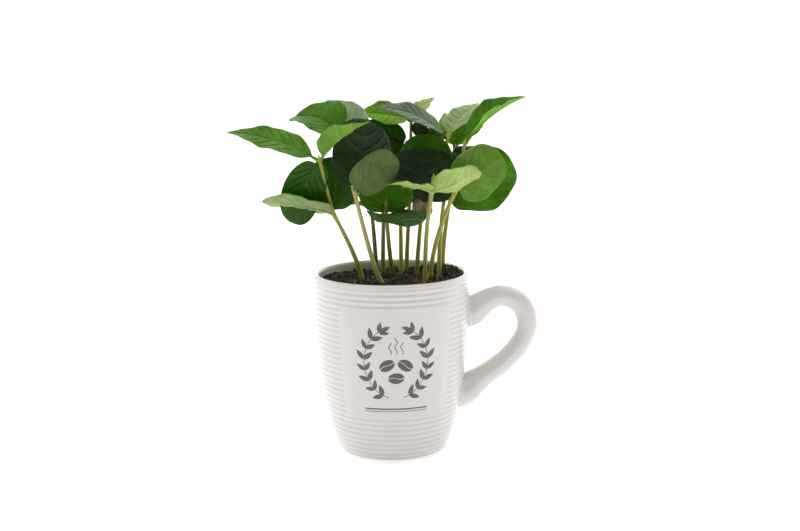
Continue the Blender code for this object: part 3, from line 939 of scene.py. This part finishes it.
def print_halves(shape, start, angle, length, half, crease, gap):
    """A leaf or bean in two halves, with a bare line between them."""
    share = np.linspace(0.02, 0.98, 14)
    along = np.array((math.cos(angle), math.sin(angle)))
    across = np.array((-along[1], along[0]))
    middle = np.array(start) + np.outer(share * length, along)
    bend = crease(share)
    for sign in (1, -1):
        outer = np.outer(sign * np.maximum(half(share), gap + 0.04), across)
        inner = np.outer(bend + sign * gap / 2, across)
        print_patch(shape, middle + outer, middle + inner, HALVES_LIFT)


def print_leaf(shape, start, angle, length):
    print_halves(
        shape, start, angle, length, lambda share: 0.2 * length * np.sin(np.pi * share ** 0.8) ** 0.9,
        lambda share: 0 * share, 0.1)


def print_bean(shape, centre, angle, length):
    start = np.array(centre) - np.array((math.cos(angle), math.sin(angle))) * length / 2
    print_halves(
        shape, start, angle, length, lambda share: 0.34 * length * np.sqrt(1 - (2 * share - 1) ** 2),
        lambda share: 0.05 * length * np.sin(2 * np.pi * share), 0.4)


def print_berry(shape, centre, radius):
    turn = np.linspace(0.05, math.pi - 0.05, 12)
    height = centre[1] + radius * np.cos(turn)
    edges = [np.stack([centre[0] + side * radius * np.sin(turn), height], axis=1) for side in (-1, 1)]
    print_patch(shape, *edges, BERRY_LIFT)


def print_sprig(shape, side):
    """One of the two bent twigs of the wreath, with paired leaves and berries. Side is 1 or -1."""
    turn = np.radians(np.linspace(SPRIG_FROM, SPRIG_TO, SPRIG_POINTS))
    across = side * WREATH_WIDTH / 2 * np.cos(turn)
    points = np.stack([across, WREATH_MIDDLE + WREATH_HEIGHT / 2 * np.sin(turn)], axis=1)
    print_stroke(shape, points, SPRIG_WIDTH)
    for number, index in enumerate(range(3, SPRIG_POINTS - 1, 5)):
        heading = points[index + 1] - points[index - 1]
        angle = math.atan2(heading[1], heading[0])
        for lean in (SPRIG_LEAF_LEAN, -SPRIG_LEAF_LEAN):
            print_leaf(shape, points[index], angle + lean, SPRIG_LEAF_LENGTHS[number % 2])
        out = side * np.array((math.sin(angle), -math.cos(angle))) * (-1) ** number
        print_berry(shape, points[index] + BERRY_BESIDE * out + heading * 0.9, BERRY_RADIUS)
    print_leaf(shape, points[-1], math.atan2(heading[1], heading[0]) + 0.2 * side, SPRIG_LEAF_LENGTHS[1])


def make_ornament(ornament):
    """A plain print on the panel: a wreath of two coffee twigs round three beans, over a rule."""
    shape = bmesh.new()
    for side in (1, -1):
        print_sprig(shape, side)
    for u, height, angle in BEANS:
        print_bean(shape, (u, height), angle, BEAN_LENGTH)
    for u, top in STEAM:
        rise = np.linspace(STEAM_FROM, top, 30)
        wave = u + STEAM_WAVE * np.sin((rise - STEAM_FROM) * 1.1)
        print_stroke(shape, np.stack([wave, rise], axis=1), STEAM_WIDTH)
    for height, width in RULES:
        print_stroke(shape, [(u, height) for u in np.linspace(-RULE_HALF, RULE_HALF, 60)], width)
    shape.normal_update()
    outwards = Vector((1, 1, 0))
    inward = [face for face in shape.faces if face.normal.dot(face.calc_center_median() * outwards) < 0]
    bmesh.ops.reverse_faces(shape, faces=inward)
    made, _, shader = new_material("print_ink", 0.4)
    shader.inputs["Base Color"].default_value = rgba(ornament.ink)
    piece = add_piece("panel_ornament", shape, [made])
    film = piece.modifiers.new("Film", "SOLIDIFY")
    film.thickness = 2 * PRINT_LIFT * MM
    film.offset = -1.0


# Soil

def heap_height(x, y, direction, height, start, end, sharpness):
    """How much one heap adds to the soil at a place."""
    out = min(1.0, max(0.0, (math.hypot(x, y) - start) / (end - start)))
    facing = max(0.0, math.cos(math.atan2(y, x) - math.radians(direction)))
    return height * out * facing ** sharpness


def soil_height(x, y, relief):
    """The soil's top: as the plain solid has it, with crumbly bumps."""
    radius = float(mug_radius(SOIL_LEVEL)) - MUG_WALL - CLEARANCE
    nearest = min(math.dist((x, y), one.foot) for one in SEEDLINGS)
    share = min(1.0, max(0.0, (nearest - FLAT_ROUND_STEM) / SLOPE_ROUND_STEM))
    bumps = math.sin(0.31 * x + 1.3) * math.cos(0.27 * y) + 0.6 * math.sin(0.53 * y - 0.47 * x)
    mound = 0.5 + 0.5 * math.sin(math.radians(45) + math.atan2(y, x))
    edge = -SOIL_EDGE_DROP * (math.hypot(x, y) / radius) ** 4 * (1 - mound)
    heaps = sum(heap_height(x, y, *heap) for heap in SOIL_HEAPS)
    plain = SOIL_LEVEL + share * (SOIL_BUMP * (0.3 * bumps + mound - 0.45) + edge) + heaps
    crumble = 0.0
    for size, layer, part in SOIL_CRUMBLE:
        crumble += part * noise.noise(Vector((x / size, y / size, layer)))
    return plain + relief * crumble


def make_soil(soil):
    """A plug of peat: a crumbly top, and a side that follows the mug's inside."""
    top_radius = float(mug_radius(SOIL_LEVEL)) - MUG_WALL - SOIL_CLEARANCE
    profile = [(top_radius * ring / SOIL_RINGS, SOIL_LEVEL) for ring in range(SOIL_RINGS + 1)]
    profile += along_side(np.linspace(*SOIL_SIDE), MUG_WALL + SOIL_CLEARANCE)
    low = MUG_FLOOR + SOIL_CLEARANCE
    profile += [(profile[-1][0] - SOIL_FOOT_ROUNDING, low), (0.0, low)]
    shape = spun(profile, SOIL_SPOKES)
    relief = soil.relief / MM
    for vert in shape.verts:
        x, y, z = (value / MM for value in vert.co)
        if z > SOIL_LEVEL - 1:
            vert.co.z = soil_height(x, y, relief) * MM
    peat = peat_material("damp_peat", soil.peat, soil.dry_peat, 420.0)
    add_piece("soil_peat", shape, [peat], ["soil"])


def bit_templates(draws, scale, roundness):
    """A few lumpy pebbles, to be repeated at other sizes and turns."""
    made = []
    for number in range(BIT_SHAPES):
        shape = bmesh.new()
        bmesh.ops.create_icosphere(shape, subdivisions=roundness, radius=1.0)
        for vert in shape.verts:
            lump = noise.noise(vert.co * 1.3 + Vector((number * 7.1, 0, 0)))
            vert.co = vert.co * (1 + BIT_LUMPINESS * lump) * Vector(scale)
        mesh = bpy.data.meshes.new("bit")
        shape.to_mesh(mesh)
        shape.free()
        made.append(mesh)
    draws.shuffle(made)
    return made


def scatter(name, count, sizes, scale, roundness, material, relief, draws):
    """Bits of one kind strewn over the soil and joined to one piece."""
    templates = bit_templates(draws, scale, roundness)
    shape = bmesh.new()
    limit = float(mug_radius(SOIL_LEVEL)) - MUG_WALL - BITS_OFF_WALL
    for number in range(count):
        size = draws.uniform(*sizes) * draws.uniform(0.6, 1.0)
        reach = (limit - size) * math.sqrt(draws.random())
        angle = draws.uniform(0, math.tau)
        x, y = reach * math.cos(angle), reach * math.sin(angle)
        turn = Euler([draws.uniform(0, math.tau) for _ in range(3)]).to_matrix().to_4x4()
        if min(math.dist((x, y), one.foot) for one in SEEDLINGS) <= BITS_OFF_STEM + size * 0.5:
            continue
        height = soil_height(x, y, relief) + size * draws.uniform(0.0, 0.5)
        copy = templates[number % len(templates)].copy()
        copy.transform(Matrix.Translation(metres((x, y, height))) @ turn @ Matrix.Scale(size * MM, 4))
        shape.from_mesh(copy)
        bpy.data.meshes.remove(copy)
    for mesh in templates:
        bpy.data.meshes.remove(mesh)
    add_piece(name, shape, [material], smooth=roundness > 1)


def make_bits(soil):
    """Crumbs, lumps, chunks, chips and grit, each kind in its material."""
    draws = random.Random(BIT_SEED)
    dark = peat_material("peat_crumb", soil.dry_peat, soil.peat, 900.0)
    bark = peat_material("bark_chip", soil.bark, shaded(soil.bark, 0.45), 1100.0)
    pale = peat_material("pale_grit", soil.pale_grit, GRIT_SHADE, 700.0)
    for kind, material in zip(BITS, (dark, dark, bark, bark, pale)):
        scatter("soil_" + kind, getattr(soil, kind), *BITS[kind], material, soil.relief / MM, draws)


# Stems and twigs

def stem_point(plant, share):
    """A point of the stem, from its foot at share 0 to the first leaves at 1."""
    foot = np.array((*plant.foot, SOIL_LEVEL + CLEARANCE), float)
    node = np.array(plant.node, float)
    point = foot + (node - foot) * share
    point[:2] = foot[:2] + (node - foot)[:2] * share ** plant.lean
    return point


def stem_end_direction(plant):
    return unit(stem_point(plant, 1.0) - stem_point(plant, 0.95))


def twig_point(plant, at):
    """A point of the twig's centre line, from the first leaves at 0 to its top at 1."""
    node, tip = np.array(plant.node, float), np.array(plant.tip, float)
    return node + (tip - node) * at + stem_end_direction(plant) * LEAF_BASE_RISE


def shoot_route(plant):
    """Centre line and radii of the whole shoot, from under the soil to the end of its bud."""
    foot = stem_point(plant, 0.0)
    below = foot - unit(stem_point(plant, FLARE_SHARE) - foot) * STEM_SUNK
    points = [below, foot] + [stem_point(plant, share) for share in STEM_SHARES]
    radii = [FLARE_RADIUS + 0.1, FLARE_RADIUS]
    radii += [STEM_FOOT_RADIUS + (STEM_TOP_RADIUS - STEM_FOOT_RADIUS) * share for share in STEM_SHARES]
    radii[-1] += NODE_SWELL
    top = twig_point(plant, 1.0)
    bud = unit(top - twig_point(plant, 0.0)) * BUD_LENGTH
    points += [twig_point(plant, at) for at, _ in TWIG_SECTION] + [top + bud * at for at, _ in BUD_SECTION]
    radii += [radius for _, radius in TWIG_SECTION + BUD_SECTION]
    route = smooth_route([(*point, radius) for point, radius in zip(points, radii)], RINGS_PER_SHARE)
    return [row[:3] for row in route], [max(LEAST_RADIUS, float(row[3])) for row in route]


def rib_route(leaf, base):
    """Centre line and radii of a leaf's stalk, and of its midrib along the lower face."""
    t = np.linspace(0.0, RIB_END, RIB_ROWS)
    radii = np.interp(t, (0.0, STALK_SHARE[leaf.kind], 0.5, RIB_END), RIB_RADII)
    points = leaf_points(leaf, base, t, np.zeros_like(t), -radii * MIDRIB_DROP)
    return list(points), [float(radius) for radius in radii]


def make_shoot(plant, shoots, leaves):
    """Stem, twig and bud in one skin, with the stalk and midrib of each leaf."""
    shape = bmesh.new()
    turn = plant.foot[0] * 0.7

    def relief(share, angle):
        broad, fine = math.sin(3 * angle + turn + 2.5 * share), math.sin(17 * share + 2 * angle)
        return 1 + shoots.ridge * (broad + 0.4 * fine)

    points, radii = shoot_route(plant)
    add_tube(shape, points, radii, STEM_SIDES, relief)
    materials = [skin_material(shoots, plant.skin)]
    for leaf in plant.leaves:
        rib = leaf_material(leaves, leaf.under, True, True)
        if rib not in materials:
            materials.append(rib)
        for face in add_tube(shape, *rib_route(leaf, twig_point(plant, leaf.at)), RIB_SIDES):
            face.material_index = materials.index(rib)
    add_piece("shoot_" + plant.name, shape, materials, ["stem_" + plant.name])


# Leaves

def leaf_axes(leaf):
    """Unit vectors of a leaf: along its midrib, to its left and out of its upper face."""
    azimuth, rise, roll = (math.radians(angle) for angle in (leaf.azimuth, leaf.rise, leaf.roll))
    along = np.array((
        math.cos(rise) * math.cos(azimuth), math.cos(rise) * math.sin(azimuth), math.sin(rise)
    ))
    left = np.array((-math.sin(azimuth), math.cos(azimuth), 0.0))
    up = np.cross(along, left)
    cos, sin = math.cos(roll), math.sin(roll)
    return along, left * cos + up * sin, up * cos - left * sin


def half_width(leaf, t):
    """Half the leaf's width at shares t of its length: a stalk, then the blade."""
    stalk = STALK_SHARE[leaf.kind]
    u = np.clip((t - stalk) / (1 - stalk), 0.0, 1.0)
    if leaf.kind == "true":
        rounded = np.maximum(np.sin(np.pi * u ** TRUE_WIDEST), 0.0) ** TRUE_FULLNESS
        shape = rounded * (1 - TRUE_TIP_TAPER * u ** 4)
    else:
        shape = np.maximum(1 - (2 * u - 1) ** 2, 0.0) ** SEED_FULLNESS
    least = np.where(u < 0.3, STALK_HALF, TIP_HALF)
    return np.maximum(least, leaf.width / 2 * shape)


def leaf_points(leaf, base, t, q, lift=0.0):
    """Points of the blade: t runs from stalk to tip, q from the right edge to the left."""
    along, left, up = leaf_axes(leaf)
    half = half_width(leaf, t)
    spread = half / (leaf.width / 2)
    fold = math.radians(leaf.fold)
    x = leaf.length * t
    if leaf.kind == "seed":
        x = x - leaf.length * SEED_LEAF_NOTCH * q * q * spread * (1 - t) ** 2
    arch = 4 * t * (1 - t) * leaf.length
    y = q * half * math.cos(fold) + leaf.sweep * arch
    ripple = np.sin(2 * np.pi * WAVES[leaf.kind] * t + leaf.azimuth + np.where(q < 0, 2.1, 0.0))
    z = np.abs(q) * half * math.sin(fold) + leaf.bow * arch
    z = z + (leaf.cup + leaf.wave * ripple) * leaf.width * q * q * spread + lift
    return base + x[..., None] * along + y[..., None] * left + z[..., None] * up


def leaf_rows(kind):
    """Rows of the blade's grid as (vein number, side of the vein): a vein takes three rows."""
    veins = len(SIDE_VEINS[kind])
    rows = [(0.0, 0)]
    for vein in range(1, veins + 2):
        rows += [(vein - 1 + step / (ROWS_BETWEEN_VEINS + 1), 0) for step in range(1, ROWS_BETWEEN_VEINS + 1)]
        if vein <= veins:
            rows += [(float(vein), side) for side in (-1, 0, 1)]
    return rows + [(veins + 1.0, 0)]


def blade_grid(leaf, vein_depth):
    """Grid of a blade whose rows follow its side veins, with two rows of stalk before them.

    Gives the places along and across, their heights over the smooth blade, and the vein number of
    each row, with whether the row lies on that vein."""
    starts, ends = zip((0.0, 0.0), *SIDE_VEINS[leaf.kind], (1.0, 1.0))
    rows = leaf_rows(leaf.kind)
    middle = MIDRIB_HALF / (leaf.width / 2)
    side = [middle + (1 - middle) * step / SIDE_COLUMNS for step in range(SIDE_COLUMNS + 1)]
    q = np.array([-value for value in reversed(side)] + [0.0] + side)
    out = np.abs(q)
    number = np.array([row[0] for row in rows])[:, None]
    beside = np.array([row[1] for row in rows], float)[:, None]
    start = np.interp(number, range(len(starts)), starts)
    end = np.interp(number, range(len(ends)), ends)
    vein_half = (VEIN_HALF - VEIN_TAPER * out) / leaf.length
    u = start + (end - start) * out ** VEIN_CURVE + beside * vein_half
    for row in range(1, len(rows)):
        u[row] = np.maximum(u[row], u[row - 1] + LEAST_ROW_STEP)
    u = u / u[-1]

    stalk = STALK_SHARE[leaf.kind]
    t = np.concatenate([np.zeros((1, len(q))), np.full((1, len(q)), stalk * 0.5), stalk + (1 - stalk) * u])
    foot = np.zeros((2, 1))
    number = np.concatenate([foot, number])
    on_vein = (number > 0) & (number % 1 == 0)
    centre = np.concatenate([foot, 1 - VEIN_SIDE_RISE * np.abs(beside)])
    sunk = vein_depth * on_vein * centre * (1 - out ** 4)
    sunk = np.maximum(sunk, vein_depth * MIDRIB_DEPTH * np.exp(-(out / (2 * middle)) ** 2))
    pillow = QUILTING[leaf.kind] * np.abs(np.sin(np.pi * number)) * out ** 0.5 * (1 - out ** 3)
    ripple = MARGIN_RIPPLE * np.sin(MARGIN_RIPPLES * t + leaf.azimuth + 3 * np.sign(q)) * out ** 4
    growth = np.sin(np.pi * np.clip((t - stalk) / (1 - stalk), 0, 1)) ** 0.5
    return t, np.broadcast_to(q, t.shape), (pillow + ripple - sunk) * growth, number[:, 0], on_vein[:, 0]


def add_blade(shape, leaf, base, vein_depth, first_index):
    """One blade, faced upwards. The faces of its veins take a material of their own."""
    t, q, lift, number, on_vein = blade_grid(leaf, vein_depth)
    rows, columns = t.shape
    faces = add_sheet(shape, rows, columns, leaf_points(leaf, base, t, q, lift))
    for (row, column), face in faces.items():
        veined = on_vein[row] and on_vein[row + 1] and number[row] == number[row + 1]
        on_midrib = column in (columns // 2 - 1, columns // 2)
        face.material_index = first_index + int((veined and 0 < column < columns - 2) or on_midrib)
    up = Vector(leaf_axes(leaf)[2])
    shape.normal_update()
    if sum(face.normal.dot(up) for face in faces.values()) < 0:
        bmesh.ops.reverse_faces(shape, faces=list(faces.values()))


def make_blades(plant, leaves):
    """All the blades of a seedling, thickened; each leaf has its tones for either face."""
    shape = bmesh.new()
    tops, unders = [], []
    for number, leaf in enumerate(plant.leaves):
        add_blade(shape, leaf, twig_point(plant, leaf.at), leaves.vein_depth / MM, 2 * number)
        tops += [leaf_material(leaves, leaf.top, vein, False) for vein in (False, True)]
        unders += [leaf_material(leaves, leaf.under, vein, True) for vein in (False, True)]
    shape.normal_update()
    piece = add_piece("blades_" + plant.name, shape, tops + unders, ["leaves_" + plant.name])
    thick = piece.modifiers.new("Thickness", "SOLIDIFY")
    thick.thickness = leaves.thickness
    thick.offset = 0.0
    thick.material_offset = len(tops)
    thick.material_offset_rim = 0


# Husk

def make_husk(husk):
    """A torn parchment shell round a seedling's neck."""
    plant = next(one for one in SEEDLINGS if one.name == HUSK_SEEDLING)
    centre = np.array(plant.node, float) - (0, 0, HUSK_DROP)
    width, height = husk.width / MM, husk.height / MM
    place = []
    for rise in np.linspace(-1, 1, HUSK_ROWS):
        ring = []
        for share in np.linspace(0, 1, HUSK_COLUMNS):
            angle = math.radians(HUSK_FROM + HUSK_AROUND * share)
            cos, sin = math.cos(angle), math.sin(angle)
            crumple = noise.noise(Vector((cos * 1.3, sin * 1.3, rise * 1.4 + 3)))
            reach = width / 2 * math.sqrt(max(0.08, 1 - (rise * 0.8) ** 2)) * (1 + 0.3 * crumple)
            torn = 1 + 0.3 * math.sin(7 * share) * max(0.0, rise)
            ring.append(centre + (
                reach * cos, HUSK_FLATTENED * reach * sin, height / 2 * rise * torn + 1.5 * crumple))
        place.append(ring)
    shape = bmesh.new()
    add_sheet(shape, HUSK_ROWS, HUSK_COLUMNS, place)
    bmesh.ops.recalc_face_normals(shape, faces=shape.faces)
    piece = add_piece("seed_husk", shape, [husk_material(husk)])
    shell = piece.modifiers.new("Shell", "SOLIDIFY")
    shell.thickness = HUSK_WALL * MM


# Studio

def make_camera(studio):
    """The photograph's view: yaw and tilt about the world's axes, and a slight roll."""
    camera = bpy.data.objects.new("camera", bpy.data.cameras.new("camera"))
    bpy.context.scene.collection.objects.link(camera)
    camera.data.lens = studio.lens
    camera.data.sensor_width = SENSOR_WIDTH
    matrix = Matrix.Translation(metres(CAMERA_PLACE))
    for angle, axis in ((CAMERA_YAW, "Z"), (CAMERA_TILT, "X"), (CAMERA_ROLL, "Z")):
        matrix = matrix @ Matrix.Rotation(math.radians(angle), 4, axis)
    camera.matrix_world = matrix
    bpy.context.scene.camera = camera


def make_floor(studio):
    """A plain sheet of pale paper that glows a little."""
    made, _, shader = new_material("floor_paper", 0.9, Emission_Strength=studio.floor_glow)
    for label in ("Base Color", "Emission Color"):
        shader.inputs[label].default_value = rgba(studio.floor_color)
    shape = bmesh.new()
    bmesh.ops.create_grid(shape, x_segments=FLOOR_SQUARES, y_segments=FLOOR_SQUARES, size=FLOOR_SIZE)
    add_object("floor", shape, [made])


def make_light(studio):
    """White surroundings, brighter behind and above the plant than behind the camera."""
    world = bpy.data.worlds.new("studio")
    bpy.context.scene.world = world
    world.use_nodes = True
    tree = world.node_tree
    tree.nodes.clear()
    place = add_node(tree, "ShaderNodeTexCoord")
    side = add_node(tree, "ShaderNodeSeparateXYZ", {"Vector": place.outputs["Generated"]})
    behind = add_range(
        tree, side.outputs["Y"], -0.8, 0.55, studio.front_light, studio.back_light,
        interpolation_type="SMOOTHSTEP")
    above = add_range(
        tree, side.outputs["Z"], 0.35, 1.0, to_high=studio.sky_light, interpolation_type="SMOOTHSTEP")
    strength = add_node(tree, "ShaderNodeMath", {0: behind, 1: above}, operation="ADD")
    white = rgba((1.0, 1.0, 1.0))
    lit = add_node(tree, "ShaderNodeBackground", {"Color": white, "Strength": strength.outputs["Value"]})
    seen = add_node(tree, "ShaderNodeBackground", {"Color": white, "Strength": BACKDROP_STRENGTH})
    path = add_node(tree, "ShaderNodeLightPath")
    chosen = add_node(tree, "ShaderNodeMixShader", {
        "Fac": path.outputs["Is Camera Ray"], 1: lit.outputs["Background"], 2: seen.outputs["Background"]})
    add_node(tree, "ShaderNodeOutputWorld", {"Surface": chosen.outputs["Shader"]})
    bpy.context.scene.view_settings.view_transform = "Standard"


# Steps

class COFFEE_OT_studio(Operator):
    """Set up the camera, the floor and the light"""

    bl_idname = "coffee.studio"
    bl_label = "Studio"

    def execute(self, context):
        make_camera(context.scene.coffee_studio)
        make_floor(context.scene.coffee_studio)
        make_light(context.scene.coffee_studio)
        return {"FINISHED"}


class COFFEE_OT_mug(Operator):
    """Turn the mug, with its ribs and plain panel, and bend its handle"""

    bl_idname = "coffee.mug"
    bl_label = "Mug"

    def execute(self, context):
        make_mug(context.scene.coffee_mug)
        make_handle()
        return {"FINISHED"}


class COFFEE_OT_ornament(Operator):
    """Print the wreath and beans on the panel"""

    bl_idname = "coffee.ornament"
    bl_label = "Ornament"

    def execute(self, context):
        make_ornament(context.scene.coffee_ornament)
        return {"FINISHED"}


class COFFEE_OT_soil(Operator):
    """Fill the mug with peat and strew crumbs, bark and grit over it"""

    bl_idname = "coffee.soil"
    bl_label = "Soil"

    def execute(self, context):
        make_soil(context.scene.coffee_soil)
        make_bits(context.scene.coffee_soil)
        return {"FINISHED"}


class COFFEE_OT_shoots(Operator):
    """Grow the stems, twigs, buds and leaf stalks"""

    bl_idname = "coffee.shoots"
    bl_label = "Shoots"

    def execute(self, context):
        for plant in SEEDLINGS:
            make_shoot(plant, context.scene.coffee_shoots, context.scene.coffee_leaves)
        return {"FINISHED"}


class COFFEE_OT_leaves(Operator):
    """Grow the veined blades of every seedling"""

    bl_idname = "coffee.leaves"
    bl_label = "Leaves"

    def execute(self, context):
        for plant in SEEDLINGS:
            make_blades(plant, context.scene.coffee_leaves)
        return {"FINISHED"}


class COFFEE_OT_husk(Operator):
    """Add the dry seed husk"""

    bl_idname = "coffee.husk"
    bl_label = "Seed Husk"

    def execute(self, context):
        make_husk(context.scene.coffee_husk)
        return {"FINISHED"}


class COFFEE_PT_sidebar(Panel):
    """Lists the steps and the sizes and colours that they use"""

    bl_idname = "COFFEE_PT_sidebar"
    bl_label = "Coffee Plant"
    bl_space_type = "VIEW_3D"
    bl_region_type = "UI"
    bl_category = "Coffee Plant"

    def draw(self, context):
        for step in STEPS:
            self.layout.operator(step.bl_idname)
        for name, group in SETTINGS.items():
            box = self.layout.box()
            for label in group.__annotations__:
                box.prop(getattr(context.scene, name), label)


STEPS = (
    COFFEE_OT_studio, COFFEE_OT_mug, COFFEE_OT_ornament, COFFEE_OT_soil, COFFEE_OT_shoots, COFFEE_OT_leaves,
    COFFEE_OT_husk,
)
CLASSES = (*SETTINGS.values(), *STEPS, COFFEE_PT_sidebar)


def register():
    for one in CLASSES:
        bpy.utils.register_class(one)
    for name, group in SETTINGS.items():
        setattr(bpy.types.Scene, name, PointerProperty(type=group))


def unregister():
    for name in SETTINGS:
        delattr(bpy.types.Scene, name)
    for one in reversed(CLASSES):
        bpy.utils.unregister_class(one)


def main():
    register()
    bpy.ops.coffee.studio()
    bpy.ops.coffee.mug()
    bpy.ops.coffee.ornament()
    bpy.ops.coffee.soil()
    bpy.ops.coffee.shoots()
    bpy.ops.coffee.leaves()
    bpy.ops.coffee.husk()


if __name__ == "__main__":
    main()
